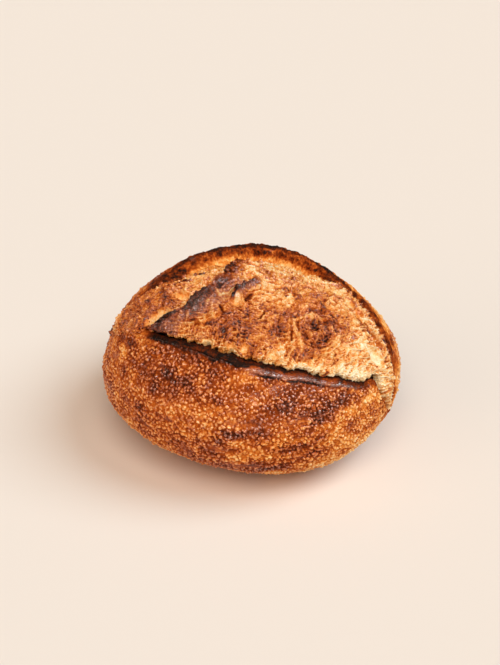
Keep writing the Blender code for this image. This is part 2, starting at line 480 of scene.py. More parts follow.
def surface_normals(points: Array, closed: bool) -> Array:
    """Return unit normals of a grid surface, from the cross product of its two slopes.

    Args:
        points: Grid of points, (rows, columns, 3).
        closed: Whether the last column meets the first.

    Returns:
        Normals that point away from the loaf, (rows, columns, 3).
    """
    if closed:
        wide = np.concatenate([points[:, -1:], points, points[:, :1]], axis=1)
        across = (wide[:, 2:] - wide[:, :-2]) * 0.5
    else:
        across = np.gradient(points, axis=1)
    normal = np.cross(np.gradient(points, axis=0), across)
    normal /= np.maximum(np.linalg.norm(normal, axis=-1, keepdims=True), 1e-12)
    outward = points - np.array([0.0, 0.0, 0.03])
    facing = np.sign(np.sum(normal * outward, axis=-1).mean())
    return normal * facing


# ---------------------------------------------------------------- meshes


def wedge_mesh(name: str, points: Array, normals: Array, centre: Array, masks: dict[str, Array]) -> bpy.types.Object:
    """Make a closed wedge: a grid surface whose border runs to one point inside the loaf.

    Args:
        name: The object's name.
        points: The outer surface, (rows, columns, 3).
        normals: Shading normals of the same shape.
        centre: The point inside, which every border edge is joined to.
        masks: Numbers for each point of the surface, kept as attributes of the mesh.

    Returns:
        The object, at the origin, with its faces pointing out.
    """
    rows, columns = points.shape[:2]
    index = np.arange(rows * columns).reshape(rows, columns)
    quads = np.stack([index[:-1, :-1], index[1:, :-1], index[1:, 1:], index[:-1, 1:]], axis=-1)
    quads = quads.reshape(-1, 4)
    loop = np.concatenate([index[0, :-1], index[:-1, -1], index[-1, :0:-1], index[:0:-1, 0]])
    after = np.roll(loop, -1)
    fan = np.stack([loop, after, np.full_like(loop, rows * columns)], axis=-1)
    corners = points.reshape(-1, 3)[quads]
    area = np.cross(corners[:, 1] - corners[:, 0], corners[:, 3] - corners[:, 0])
    if np.sum(area * (corners[:, 0] - centre)) < 0.0:
        quads, fan = quads[:, ::-1], fan
    else:
        fan = fan[:, ::-1]
    verts = np.concatenate([points.reshape(-1, 3), centre[None]])
    mesh = bpy.data.meshes.new(name)
    mesh.vertices.add(len(verts))
    mesh.vertices.foreach_set("co", verts.astype(np.float32).ravel())
    corner_ids = np.concatenate([quads.ravel(), fan.ravel()])
    sizes = np.concatenate([np.full(len(quads), 4), np.full(len(fan), 3)])
    starts = np.concatenate([[0], np.cumsum(sizes)[:-1]])
    mesh.loops.add(len(corner_ids))
    mesh.loops.foreach_set("vertex_index", corner_ids.astype(np.int32))
    mesh.polygons.add(len(sizes))
    mesh.polygons.foreach_set("loop_start", starts.astype(np.int32))
    mesh.update(calc_edges=True)
    mesh.validate()
    mesh.shade_smooth()
    inside = (np.array([0.0, 0.0, 1.0]) + 0.0 * centre)[None]
    mesh.normals_split_custom_set_from_vertices(np.concatenate([normals.reshape(-1, 3), inside]).tolist())
    for mask, values in masks.items():
        attribute = mesh.attributes.new(mask, "FLOAT", "POINT")
        attribute.data.foreach_set("value", np.append(values.ravel(), 0.5).astype(np.float32))
    add_bake_map(mesh, rows, columns, loop)
    piece = bpy.data.objects.new(name, mesh)
    bpy.context.scene.collection.objects.link(piece)
    return piece


def add_bake_map(mesh: bpy.types.Mesh, rows: int, columns: int, loop: Array) -> None:
    """Give a wedge the map that its finish is baked on.

    The outer grid fills the square above a low strip; the inner fan lies in the strip, its
    border points side by side along the top and its inner point in the middle of the bottom.

    Args:
        mesh: The wedge's mesh.
        rows: Rows of its outer grid.
        columns: Columns of its outer grid.
        loop: The grid's border, in order.
    """
    strip = 0.04
    row, column = np.divmod(np.arange(rows * columns + 1), columns)
    grid = np.stack([column / (columns - 1), strip + (1.0 - strip) * row / (rows - 1)], axis=-1)
    vertex = np.empty(len(mesh.loops), np.int32)
    mesh.loops.foreach_get("vertex_index", vertex)
    place = grid[vertex]
    fan = np.arange(len(vertex)) >= 4 * (rows - 1) * (columns - 1)
    order = np.zeros(rows * columns + 1)
    order[loop] = np.arange(len(loop)) / len(loop)
    along = order[vertex[fan]].reshape(-1, 3)
    across = np.where(vertex[fan].reshape(-1, 3) == rows * columns, 0.0, 0.8 * strip)
    last = along.max(axis=1, keepdims=True) > 0.9
    along = np.where(last & (along == 0.0), 1.0, along)
    along = np.where(across == 0.0, 0.5, along)
    place[fan] = np.stack([along, across], axis=-1).reshape(-1, 2)
    layer = mesh.uv_layers.new(name="OFBake")
    layer.uv.foreach_set("vector", place.astype(np.float32).ravel())


# ---------------------------------------------------------------- materials


class Graph:
    """A small helper that adds and joins nodes of one tree."""

    def __init__(self, tree: bpy.types.NodeTree) -> None:
        """Keep the tree and empty it."""
        self.tree = tree
        tree.nodes.clear()

    def node(self, kind: str, inputs: dict[str | int, object] | None = None, **settings: object) -> bpy.types.Node:
        """Add a node.

        Args:
            kind: The node's class.
            inputs: Input values, or sockets to join, by name or index.
            **settings: Properties of the node.

        Returns:
            The new node.
        """
        node = self.tree.nodes.new(kind)
        for key, value in settings.items():
            setattr(node, key, value)
        for key, value in (inputs or {}).items():
            socket = self.enabled(node, key) if isinstance(key, str) else node.inputs[key]
            if isinstance(value, bpy.types.NodeSocket):
                self.tree.links.new(value, socket)
            else:
                socket.default_value = value
        return node

    @staticmethod
    def enabled(node: bpy.types.Node, name: str) -> bpy.types.NodeSocket:
        """Return the node's input of this name that its settings leave in use."""
        return next(socket for socket in node.inputs if socket.name == name and socket.enabled)

    def math(self, operation: str, first: object, second: object = 0.0, clamp: bool = False) -> bpy.types.NodeSocket:
        """Return the result of one math operation on sockets or numbers."""
        node = self.node("ShaderNodeMath", {0: first, 1: second}, operation=operation, use_clamp=clamp)
        return node.outputs[0]

    def spread(self, value: object, low: float, high: float, start: float, end: float) -> bpy.types.NodeSocket:
        """Return a value mapped smoothly from low..high to start..end, clamped at both ends."""
        inputs = {"Value": value, "From Min": low, "From Max": high, "To Min": start, "To Max": end}
        node = self.node("ShaderNodeMapRange", inputs, interpolation_type="SMOOTHSTEP")
        return node.outputs["Result"]

    def mask(self, name: str) -> bpy.types.NodeSocket:
        """Return a number kept on the mesh."""
        return self.node("ShaderNodeAttribute", attribute_name=name).outputs["Fac"]

    def noise(self, place: object, scale: float, detail: float, roughness: float = 0.5) -> bpy.types.NodeSocket:
        """Return noise of about 0 to 1 at a place."""
        inputs = {"Vector": place, "Scale": scale, "Detail": detail, "Roughness": roughness}
        return self.node("ShaderNodeTexNoise", inputs).outputs["Fac"]


def new_group(name: str, inputs: dict[str, float], outputs: dict[str, str]) -> tuple[bpy.types.NodeTree, Graph]:
    """Start a shader node group.

    Args:
        name: The group's name.
        inputs: Number inputs and their usual values.
        outputs: Output names and their socket kinds.

    Returns:
        The group and a graph to fill it with.
    """
    tree = bpy.data.node_groups.new(name, "ShaderNodeTree")
    for key, value in inputs.items():
        socket = tree.interface.new_socket(name=key, in_out="INPUT", socket_type="NodeSocketFloat")
        socket.default_value = value
    for key, kind in outputs.items():
        tree.interface.new_socket(name=key, in_out="OUTPUT", socket_type=kind)
    return tree, Graph(tree)


def srgb(red: int, green: int, blue: int) -> tuple[float, float, float, float]:
    """Return a display colour, 0 to 255, as the linear colour that a shader takes."""
    share = np.array([red, green, blue]) / 255.0
    linear = np.where(share <= 0.04045, share / 12.92, ((share + 0.055) / 1.055) ** 2.4)
    return (*linear.tolist(), 1.0)


@dataclass(frozen=True)
class Browning:
    """The colours that dough goes through in the oven, from cream crumb to charcoal."""

    stops: tuple[tuple[float, tuple[int, int, int]], ...] = (
        (0.00, (255, 236, 200)),
        (0.14, (254, 217, 158)),
        (0.28, (248, 182, 102)),
        (0.42, (229, 140, 58)),
        (0.56, (194, 98, 33)),
        (0.70, (148, 63, 19)),
        (0.83, (90, 36, 13)),
        (0.93, (46, 26, 18)),
        (1.00, (26, 20, 18)),
    )
    # purple-grey of a painted reflection, mixed into glossy skin
    grey_reflection: tuple[int, int, int] = (122, 94, 88)

    def group(self) -> bpy.types.NodeTree:
        """Return the node group that turns browning and a painted grey reflection into a colour."""
        inputs = {"Browning": 0.5, "Grey Reflection": 0.0}
        tree, graph = new_group("dough_browning", inputs, {"Color": "NodeSocketColor"})
        entry = graph.node("NodeGroupInput")
        ramp = graph.node("ShaderNodeValToRGB", {"Fac": entry.outputs["Browning"]})
        while len(ramp.color_ramp.elements) > 1:
            ramp.color_ramp.elements.remove(ramp.color_ramp.elements[-1])
        for number, (position, colour) in enumerate(self.stops):
            element = ramp.color_ramp.elements[0] if number == 0 else ramp.color_ramp.elements.new(position)
            element.position = position
            element.color = srgb(*colour)
        grey = graph.node("ShaderNodeMix", {
            "Factor": entry.outputs["Grey Reflection"], "A": ramp.outputs["Color"], "B": srgb(*self.grey_reflection)}, data_type="RGBA")
        blended = next(socket for socket in grey.outputs if socket.enabled)
        graph.node("NodeGroupOutput", {"Color": blended})
        return tree


@dataclass(frozen=True)
class FineCrumb:
    """Grain finer than the mesh: specks and pinholes, as a height and a change of browning."""

    grain_scale: float = 620.0
    speck_scale: float = 420.0
    patch_scale: float = 90.0

    def group(self) -> bpy.types.NodeTree:
        """Return the node group: Height for a bump, Tone from about -1 to 1 for browning."""
        outputs = {"Height": "NodeSocketFloat", "Tone": "NodeSocketFloat"}
        tree, graph = new_group("fine_crumb", {"Grain": 1.0, "Specks": 1.0}, outputs)
        entry = graph.node("NodeGroupInput")
        place = graph.node("ShaderNodeTexCoord").outputs["Object"]
        grain = graph.noise(place, self.grain_scale, 3.0, 0.6)
        speck = graph.noise(place, self.speck_scale, 2.0, 0.5)
        patch = graph.noise(place, self.patch_scale, 3.0, 0.6)
        grain_part = graph.math("MULTIPLY", graph.math("SUBTRACT", grain, 0.5), entry.outputs["Grain"])
        dark = graph.spread(speck, 0.60, 0.72, 0.0, 1.0)
        dark = graph.math("MULTIPLY", dark, entry.outputs["Specks"])
        tone = graph.math("MULTIPLY", graph.math("SUBTRACT", patch, 0.5), 1.6)
        tone = graph.math("ADD", graph.math("ADD", tone, grain_part), dark)
        height = graph.math("SUBTRACT", grain_part, graph.math("MULTIPLY", dark, 0.6))
        graph.node("NodeGroupOutput", {"Height": height, "Tone": tone})
        return tree


@dataclass(frozen=True)
class BakedFinish:
    """A finish of baked dough: browning with painted shade from the mesh, fine grain and a gelled gloss."""

    name: str
    tone_strength: float
    grain: float
    specks: float
    grain_depth: float
    matt: float
    gloss: float
    specular: float
    coat: float
    coat_roughness: float
    coat_ior: float

    def material(self, browning_and_shade: bpy.types.NodeTree, crumb: bpy.types.NodeTree) -> bpy.types.Material:
        """Return the material.

        Args:
            browning_and_shade: Group that turns browning, with its painted shade, and the painted grey reflection into
                colour.
            crumb: Group of grain finer than the mesh.

        Returns:
            A Principled material that reads the mesh's browning with its painted shade, its painted grey reflection
            and its sheen.
        """
        material = bpy.data.materials.new(self.name)
        material.use_nodes = True
        graph = Graph(material.node_tree)
        fine = graph.node("ShaderNodeGroup")
        fine.node_tree = crumb
        fine.inputs["Grain"].default_value = self.grain
        fine.inputs["Specks"].default_value = self.specks
        tone = graph.math("MULTIPLY", fine.outputs["Tone"], self.tone_strength)
        level = graph.math("ADD", graph.mask("browning_and_shade"), tone, clamp=True)
        colour = graph.node("ShaderNodeGroup")
        colour.node_tree = browning_and_shade
        graph.tree.links.new(level, colour.inputs["Browning"])
        graph.tree.links.new(graph.mask("grey_reflection"), colour.inputs["Grey Reflection"])
        sheen = graph.mask("sheen")
        roughness = graph.spread(sheen, 0.0, 1.0, self.matt, self.gloss)
        depth = graph.node("ShaderNodeBump", {
            "Height": fine.outputs["Height"], "Distance": self.grain_depth, "Strength": 1.0})
        shader = graph.node("ShaderNodeBsdfPrincipled", {
            "Base Color": colour.outputs["Color"],
            "Roughness": roughness,
            "Normal": depth.outputs["Normal"],
            "Specular IOR Level": self.specular,
            "Coat Weight": graph.math("MULTIPLY", sheen, self.coat),
            "Coat Roughness": self.coat_roughness,
            "Coat IOR": self.coat_ior,
        })
        graph.node("ShaderNodeOutputMaterial", {"Surface": shader.outputs["BSDF"]})
        return material


CRUST_FINISH = BakedFinish("blistered_crust", tone_strength=0.20, grain=2.0, specks=0.30, grain_depth=0.0005,
                           matt=0.85, gloss=0.60, specular=0.06, coat=1.0, coat_roughness=0.10, coat_ior=2.2)
BLOOM_FINISH = BakedFinish("torn_bloom", tone_strength=0.30, grain=2.2, specks=0.5, grain_depth=0.0006,
                           matt=0.85, gloss=0.55, specular=0.06, coat=0.9, coat_roughness=0.14, coat_ior=1.85)


# ---------------------------------------------------------------- crust


@dataclass(frozen=True)
class CrustSite:
    """Where each point of the crust lies."""

    plain: Array                   # point on the plain form
    normal: Array
    u: Array
    v: Array
    past: Array                    # degrees outside the torn edge
    along: Array                   # way along the torn edge
    below: Array                   # depth under the torn edge's top
    behind: Array                  # 1 where the edge is the tall ear, 0 in front

    @property
    def edge(self) -> Array:
        """Return 1 on the torn edge and inside it, 0 out on the blistered side."""
        return ease(2.8, 0.8, self.past) * (1.0 - self.behind) + ease(8.5, 2.0, self.past) * self.behind

    @property
    def ledge(self) -> Array:
        """Return 1 on the glossy fold that runs under the right part of the front edge, tinted with a painted grey
        reflection.
        """
        return bump(2.2, 0.8, self.past) * ease(0.0, 12.0, self.u) * ease(52.0, 44.0, self.u) * (self.v < 0.0)

    @property
    def groove(self) -> Array:
        """Return 1 in the crease under that fold, which is cut into the relief and painted darker, as shade."""
        return bump(3.4, 0.55, self.past) * ease(2.0, 12.0, self.u) * ease(44.0, 34.0, self.u) * (self.v < 0.0)

    @property
    def crumbly(self) -> Array:
        """Return 1 on the torn, crumbly right end of the front edge."""
        across = ease(-1.5, -0.5, self.past) * ease(3.6, 2.2, self.past)
        return across * ease(36.0, 42.0, self.u) * ease(63.0, 58.0, self.u) * (self.v < -8.0)

    @property
    def wall(self) -> Array:
        """Return 1 on the torn wall that faces the bloom."""
        return ease(0.6, -0.9, self.past)

    @property
    def foot(self) -> Array:
        """Return 1 on the flat foot, 0 above it."""
        return ease(6.0 * MM, 0.5 * MM, self.plain[..., 2])


@dataclass(frozen=True)
class CrustPatch:
    """A patch of the crust's front that is browner or paler, glossier or duller than the rest."""

    x: float
    z: float
    half_x: float
    half_z: float
    brown: float
    gloss: float

    def cover(self, points: Array) -> Array:
        """Return a bell of height 1 over the patch, 0 on the loaf's back."""
        away = ((points[..., 0] - self.x) / self.half_x) ** 2 + ((points[..., 2] - self.z) / self.half_z) ** 2
        return np.exp(-away) * (points[..., 1] < 0.0)


CRUST_PATCHES = (
    CrustPatch(22 * MM, 89 * MM, 15 * MM, 7 * MM, 0.15, 0.9),
    CrustPatch(48 * MM, 76 * MM, 13 * MM, 8 * MM, 0.15, 0.9),
    CrustPatch(66 * MM, 82 * MM, 14 * MM, 6 * MM, 0.12, 0.4),
    CrustPatch(-46 * MM, 92 * MM, 24 * MM, 5 * MM, 0.12, 0.0),
    CrustPatch(-48 * MM, 103 * MM, 24 * MM, 5 * MM, 0.08, 0.2),
    CrustPatch(20 * MM, 57 * MM, 24 * MM, 6 * MM, 0.14, 0.0),
    CrustPatch(-8 * MM, 92 * MM, 30 * MM, 5 * MM, -0.10, 0.3),
    CrustPatch(-66 * MM, 76 * MM, 30 * MM, 7 * MM, -0.10, 0.1),
    CrustPatch(-30 * MM, 80 * MM, 26 * MM, 4 * MM, -0.10, 0.1),
    CrustPatch(10 * MM, 73 * MM, 26 * MM, 5 * MM, -0.10, 0.2),
    CrustPatch(-15 * MM, 68 * MM, 28 * MM, 4 * MM, 0.08, 0.2),
)


@dataclass
class Crust:
    """The crust from the crevice over its torn edge and down to the foot, in closed wedges."""

    form: LoafForm
    shift: Array
    columns: int = 1400
    edge_rows: int = 44
    side_rows: int = 310
    foot_rows: int = 30
    front_weight: float = 1.6
    sectors: int = 8
    foot_dip: float = -0.55        # height part of the direction to the foot's rim
    blister_cell: float = 2.1 * MM
    large_cell: float = 5.2 * MM
    grain_cell: float = 1.25 * MM
    ring_cell: float = 9.0 * MM
    blister_height: float = 1.35 * MM
    large_height: float = 1.3 * MM
    grain_height: float = 0.25 * MM
    ring_height: float = 0.55 * MM

    def turns(self) -> Array:
        """Return the columns' turns: even along the opening's edge, closer in front."""
        turn = np.radians(np.linspace(-180.0, 180.0, 6001))
        reach = self.form.opening_reach(turn)
        step = np.hypot(np.diff(reach * np.cos(turn)), np.diff(reach * np.sin(turn)))
        middle = 0.5 * (turn[1:] + turn[:-1])
        front = ease(0.25, -0.25, np.sin(middle) + 0.1)
        plain = np.diff(turn) / (2.0 * np.pi)
        weight = (0.55 * step / step.sum() + 0.45 * plain) * (1.0 + (self.front_weight - 1.0) * front)
        total = np.concatenate([[0.0], np.cumsum(weight)])
        return np.interp(np.linspace(0.0, 1.0, self.columns, endpoint=False), total / total[-1], turn)

    def ragged_edge(self, turn: Array) -> Array:
        """Return the opening's edge, torn: long waves, short nicks and fine teeth, in degrees."""
        edge = self.form.opening_reach(turn)
        ring = np.stack([edge * np.cos(turn), edge * np.sin(turn), 0.0 * turn], axis=-1)
        waves = 0.55 * rough(ring, 7.0, 2, 11) + 0.40 * rough(ring, 2.2, 2, 12) + 0.22 * rough(ring, 0.8, 2, 13)
        return edge + waves

    def profile(self, turn: Array) -> tuple[Array, Array]:
        """Return reach and height of every row: crevice wall, torn edge, side and foot.

        The wall and edge follow a cubic B-spline through a few control rows; the side runs
        evenly to the foot's rim, and the foot to the pole under the loaf.
        """
        form = self.form
        edge = self.ragged_edge(turn)
        rise, depth = form.edge_rise(turn), form.crevice_depth(turn)
        ring = np.stack([edge * np.cos(turn), edge * np.sin(turn), 0.0 * turn], axis=-1)
        rise = rise + (0.8 * rough(ring, 9.0, 2, 15) + 0.7 * rough(ring, 1.6, 2, 16)) * MM * (0.4 + form.ear(turn))
        outer = edge + form.crust_edge
        deep = depth - 3.0 * MM
        thin = 0.9 * MM * form.ear(turn)
        controls = [
            (edge - 1.6 * form.crevice, deep), (edge - 1.3 * form.crevice, deep),
            (edge - 0.90 * form.crevice, 0.9 * depth), (edge - 0.45 * form.crevice, 0.6 * depth + 0.1 * rise),
            (edge - 0.50, 0.2 * depth + 0.8 * rise), (edge + 0.35, rise + 0.5 * MM), (edge + 1.1, rise + 0.3 * MM),
            (outer, 0.95 * rise - thin), (outer + 0.9, 0.95 * rise - 1.6 * thin),
        ]
        reach_rows = b_spline(np.stack([c[0] for c in controls]), self.edge_rows)
        height_rows = b_spline(np.stack([c[1] for c in controls]), self.edge_rows)
        start = reach_rows[-1]
        pole, along, across = form.crown_frame()
        side_up = np.cos(turn) * along[2] + np.sin(turn) * across[2]
        rim = np.degrees(np.arctan2(side_up, pole[2])
                         + np.arccos(self.foot_dip / np.hypot(side_up, pole[2])))
        side = np.linspace(0.0, 1.0, self.side_rows + 1)[1:, None]
        foot = np.linspace(0.0, 1.0, self.foot_rows + 1)[1:, None]
        side_reach = start + (rim - start) * side
        foot_reach = rim + (179.9 - rim) * foot
        reach = np.concatenate([reach_rows, side_reach, foot_reach])
        fade = np.exp(-((np.maximum(reach - outer, 0.0) / form.fade(turn)) ** 2))
        height = 0.95 * rise * fade
        height[:self.edge_rows] = height_rows
        blend = ease(0.0, 3.0, reach - start)
        height = height * blend + (height_rows[-1] + 0.0 * reach) * (1.0 - blend) * (reach > start)
        height[:self.edge_rows] = height_rows
        return reach, height

    def site(self) -> CrustSite:
        """Return where every point of the crust lies on the plain form."""
        form = self.form
        turn = self.turns()
        reach, height = self.profile(turn)
        turn_grid = turn + 0.0 * reach
        edge = form.opening_reach(turn)
        steps = np.hypot(np.diff(edge * np.cos(turn)), np.diff(edge * np.sin(turn)))
        along = np.radians(np.concatenate([[0.0], np.cumsum(steps)])) * (form.waist_height + form.rise_above_waist)
        plain = form.place(form.directions(reach, turn_grid), height) + self.shift
        return CrustSite(
            plain=plain,
            normal=surface_normals(plain, closed=True),
            u=reach * np.cos(turn_grid),
            v=reach * np.sin(turn_grid),
            past=reach - self.ragged_edge(turn),
            along=along + 0.0 * reach,
            below=self.form.edge_rise(turn) - height,
            behind=form.ear(turn_grid),
        )

    def shape(self) -> tuple[Array, Array, dict[str, Array]]:
        """Return the crust's points and shading normals, its browning with painted shade and highlights, its painted
        grey reflection and its sheen.
        """
        site = self.site()
        plain = site.plain
        # blisters
        bent = plain + 0.8 * MM * np.stack([value_noise(plain, 3.0 * MM, seed) for seed in (91, 92, 93)], axis=-1)
        fine = domes(bent, self.blister_cell, 101, 0.36, 0.78, 0.96, 0.3)
        large = domes(bent, self.large_cell, 131, 0.22, 0.44, 0.42, 0.4)
        grain = domes(plain, self.grain_cell, 141, 0.35, 0.65, 0.80, 0.3)
        rings = domes(plain, self.ring_cell, 151, 0.18, 0.32, 0.20)
        ring_wall = bump(0.30, 0.16, rings[..., 2]) * (rings[..., 0] > 0.0)
        swell = rough(plain, 26.0 * MM, 2, 161)
        crinkle = rough(plain, 5.5 * MM, 3, 171)
        banded = plain * np.array([1.0, 1.0, 2.0])
        patches = rough(banded, 36.0 * MM, 3, 211)
        mottle = rough(banded, 12.0 * MM, 3, 221)
        smooth = ease(0.22, 0.60, rough(banded, 15.0 * MM, 3, 181)) * 0.8
        strands = value_noise(np.stack([site.u * 0.16, site.v * 0.16, site.past * 2.0], axis=-1), 1.0, 191)
        out = (1.0 - site.edge) * (1.0 - site.foot)
        relief = self.blister_height * fine[..., 0] ** 0.6 * (1.0 - smooth)
        relief = relief + self.large_height * large[..., 0] ** 0.7 * (1.0 - 0.5 * smooth)
        relief = relief + self.grain_height * grain[..., 0]
        relief = relief + self.ring_height * ring_wall + 0.40 * MM * crinkle + 0.9 * MM * swell
        relief = relief * out + 0.6 * MM * site.ledge - 0.9 * MM * site.groove
        torn = rough(plain, 3.2 * MM, 3, 201)
        chunks = rough(plain, 7.0 * MM, 3, 205)
        relief = relief + (0.45 * MM * strands + 0.70 * MM * torn) * site.edge
        lip = bump(1.3, 1.5, site.past) * ease(-48.0, -38.0, site.u) * ease(20.0, 0.0, site.u)
        relief = relief + (2.0 + 0.8 * strands) * MM * lip * (1.0 - site.behind)
        relief = relief + (1.5 * torn + 1.2 * chunks + 0.6) * MM * site.crumbly
        combed = site.along + 4.0 * MM * chunks - 0.7 * site.below
        hair = webs(np.stack([combed / (1.7 * MM), site.below / (4.0 * MM), 0.0 * combed], axis=-1), 1.0, 3, 207)
        hair = 0.4 * hair + 0.6 * webs(plain, 2.4 * MM, 2, 208)
        cells = domes(plain, 9.0 * MM, 209, 0.25, 0.50, 0.65, 0.5)
        low = ease(7.0 * MM, 11.0 * MM, site.below)
        wall_relief = 1.6 * chunks + 0.8 * torn + 1.6 * (hair - 0.3) * (1.0 - low) - 1.6 * cells[..., 0] * low
        relief = relief + wall_relief * MM * site.wall * site.behind
        points = plain + site.normal * relief[..., None]
        points[..., 2] = np.maximum(points[..., 2], 0.0)
        # browning, with painted shade and painted highlights
        crest = crests(relief, 3, 0.45 * MM) * out
        # right and left: painted light; the right side, where the key light falls, and the shaded left side are
        # painted paler below
        right = ease(0.035, 0.085, plain[..., 0]) * ease(0.06, 0.0, plain[..., 1])
        left = ease(-0.070, -0.100, plain[..., 0])
        low_streaks = rough(plain * np.array([1.0, 1.0, 5.0]), 18.0 * MM, 2, 225) * ease(0.050, 0.025, plain[..., 2])
        brown = 0.57 + 0.22 * patches + 0.30 * mottle + 0.13 * low_streaks + 0.05 * smooth - 0.10 * right - 0.04 * left
        # painted highlight: relief crests are painted paler; each blister's top also gets a random tone of its own
        brown = brown - 0.10 * crest + (0.08 - 0.18 * fine[..., 1]) * ease(0.1, 0.5, fine[..., 0]) * out
        # darker in the gaps between blisters: partly browner dough, partly painted shade
        gap_shade = ease(0.22, 0.02, np.maximum(fine[..., 0], large[..., 0])) * out
        brown = brown + 0.10 * gap_shade * ease(-0.5, 0.3, crinkle) * (1.0 - 0.6 * smooth)
        # painted glints: the tops of the finest grains are painted pale
        brown = brown - 0.18 * ease(0.35, 0.9, grain[..., 0]) * ease(0.4, 0.7, grain[..., 1]) * out
        # paler towards the foot: partly the foot's golden colour, partly painted bounce light from the floor
        brown = brown - 0.11 * ease(0.045, 0.010, plain[..., 2])
        brown = brown - 0.5 * np.maximum(brown - 0.70, 0.0)
        # painted shade in the crease under the glossy fold; the torn edge itself is browner
        brown = brown + 0.10 * site.edge * (1.0 - site.behind) + 0.20 * site.groove
        wavy = site.past + 0.5 * crinkle
        streaks = webs(np.stack([site.along / (13.0 * MM), wavy / 0.62, 0.0 * wavy], axis=-1), 1.0, 3, 193)
        brown = brown + (0.10 - 0.50 * (streaks - 0.25) + 0.14 * torn) * site.edge * site.behind
        gloss = 0.55 + 0.5 * patches
        for patch in CRUST_PATCHES:
            cover = patch.cover(plain)
            brown = brown + patch.brown * cover
            gloss = gloss + patch.gloss * cover
        front = 1.0 - site.behind
        crumbly = site.crumbly
        brown = brown * (1.0 - crumbly) + (0.78 + 0.22 * torn + 0.10 * chunks) * crumbly
        ragged = 2.9 * ease(12.0, -8.0, site.u) + 0.9 * rough(plain, 4.0 * MM, 2, 231) + 0.4 * strands
        # char: the burnt lip, and inside the edge the crevice wall, whose darkness there is painted shade
        char = ease(0.7, -0.5, site.past - ragged) * front * ease(-50.0, -42.0, site.u) * ease(78.0, 55.0, site.u)
        rim = ease(2.4 * MM, 0.6 * MM, site.below + 2.6 * MM * torn) * ease(1.9, 0.9, site.past + 1.0 * torn)
        rim = rim * (1.0 - 0.6 * ease(-10.0, 45.0, site.u) * ease(-0.1, 0.4, chunks))
        rim = rim * (1.0 - 0.45 * ease(22.0, 46.0, site.u))
        char = np.maximum(char, rim * site.behind)
        brown = brown * (1.0 - char) + (0.92 + 0.10 * torn - 0.07 * strands) * char
        down = np.clip(site.below / (19.0 * MM), 0.0, 1.0) + 0.14 * chunks + 0.10 * torn
        inner = site.wall * site.behind * (1.0 - char)
        wall_brown = 0.76 - 0.34 * ease(0.28, 0.48, down) - 0.14 * ease(0.50, 0.75, down) + 0.30 * torn
        wall_brown = wall_brown - 0.46 * (hair - 0.35) - 0.20 * cells[..., 0] * low
        brown = brown * (1.0 - inner) + wall_brown * inner
        sheen = (ease(0.0, 0.8, crest) + 0.4 * smooth) * np.clip(gloss, 0.0, 1.0) + 0.7 * site.ledge
        masks = {
            "browning_and_shade": np.clip(brown, 0.02, 1.0),
            # painted grey reflection on the glossy fold
            "grey_reflection": np.clip(0.35 * site.ledge, 0.0, 1.0),
            "sheen": np.clip(sheen * (1.0 - 0.5 * char) * (1.0 - inner), 0.0, 1.0),
        }
        return points, surface_normals(points, closed=True), masks

    def build(self, material: bpy.types.Material) -> list[bpy.types.Object]:
        """Make the crust's wedges.

        Args:
            material: The crust's finish.

        Returns:
            The wedges, each closed, side by side round the loaf.
        """
        points, normals, masks = self.shape()
        centre = np.array([0.0, 0.0, self.form.waist_height]) + self.shift
        limits = np.linspace(0, self.columns, self.sectors + 1).astype(int)
        pieces = []
        for number, (first, last) in enumerate(zip(limits[:-1], limits[1:])):
            pick = np.arange(first, last + 1) % self.columns
            part = {name: values[:, pick] for name, values in masks.items()}
            piece = wedge_mesh(f"crust_{number + 1}", points[:, pick], normals[:, pick], centre, part)
            piece.data.materials.append(material)
            pieces.append(piece)
        return pieces


def b_spline(controls: Array, rows: int) -> Array:
    """Return rows along a uniform cubic B-spline, one curve for each column.

    Args:
        controls: Control values, (count, columns).
        rows: How many rows to read along the curve.

    Returns:
        Each row is the four nearest controls, weighted by the cubic basis, (rows, columns).
    """
    spans = len(controls) - 3
    place = np.linspace(0.0, spans, rows)
    first = np.minimum(place.astype(int), spans - 1)
    t = (place - first)[:, None]
    basis = ((1 - t) ** 3 / 6, (3 * t ** 3 - 6 * t ** 2 + 4) / 6,
             (-3 * t ** 3 + 3 * t ** 2 + 3 * t + 1) / 6, t ** 3 / 6)
    return sum(weight * controls[first + number] for number, weight in enumerate(basis))


# ---------------------------------------------------------------- bloom


@dataclass(frozen=True)
class Flap:
    """A torn flap of dough that stands up across the bloom.

    Its line is read as u for each v; the surface steps up on its right and sinks over a run.
    """

    line: tuple[tuple[float, float], ...]
    rise: float
    run: float
    step: float
    crest: float
    char_width: float
    face_width: float

    def beyond(self, u: Array, v: Array) -> Array:
        """Return how far a place lies to the right of the line, degrees."""
        line_u, line_v = np.array(self.line).T
        return u - np.interp(v, line_v, line_u)

    def ends(self, v: Array) -> Array:
        """Return 1 along the line, fading to 0 past both of its ends."""
        first, last = self.line[0][1], self.line[-1][1]
        return ease(first - 5.0, first, v) * (1.0 - ease(last, last + 7.0, v))

    def height(self, u: Array, v: Array, teeth: Array) -> Array:
        """Return the flap's height: a steep step, a toothed crest and a slow fall to the right."""
        away = self.beyond(u, v)
        body = self.rise * ease(-self.step, self.step, away) * (1.0 - ease(0.0, self.run, away))
        return self.ends(v) * (body + self.crest * (0.7 + teeth) * bump(self.step, 1.2, away))

    def char(self, u: Array, v: Array) -> Array:
        """Return how burnt the flap's crest is, 0 to 1."""
        away = self.beyond(u, v)
        return self.ends(v) * ease(-0.9, 0.1, away) * (1.0 - ease(0.35, 1.0, away / self.char_width))

    def face(self, u: Array, v: Array) -> Array:
        """Return how much a place is the flap's smooth skin, 0 to 1."""
        away = self.beyond(u, v)
        return self.ends(v) * ease(0.2, 1.2, away) * (1.0 - ease(0.5, 1.0, away / self.face_width))


